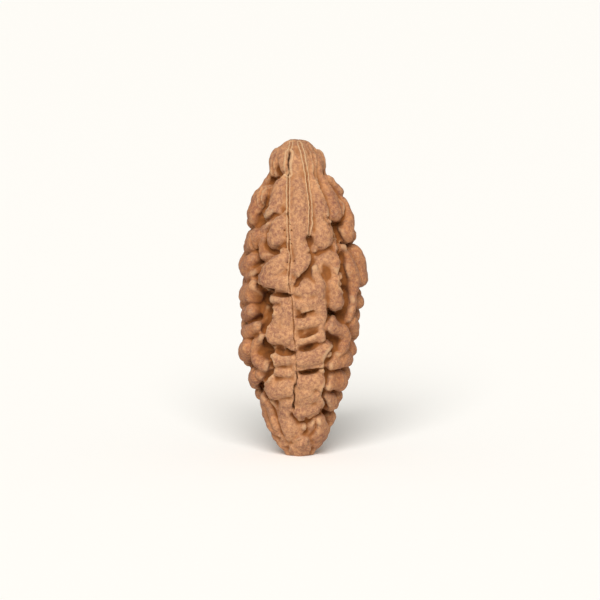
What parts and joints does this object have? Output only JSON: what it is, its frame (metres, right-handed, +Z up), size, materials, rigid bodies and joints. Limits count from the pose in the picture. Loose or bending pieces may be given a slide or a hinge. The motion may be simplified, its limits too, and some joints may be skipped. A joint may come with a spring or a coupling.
{
  "type": "rudraksha bead",
  "caption": "Elongated many-faced rudraksha bead: a knobbly woody seed stone with seams running from tip to tip, standing on a small flat spot at its lower end.",
  "frame": {"origin": "centre of the small flat spot at the lower end, on the surface that the bead stands on", "axes": "+Z up along the bead's long axis, -Y towards the side with the long front seam"},
  "size_m": [0.0155, 0.015, 0.0381],
  "materials": {
    "skin": "matte, dry and fuzzy"
  },
  "bodies": {
    "root": {"rudraksha_bead": "skin"}
  },
  "joints": []
}
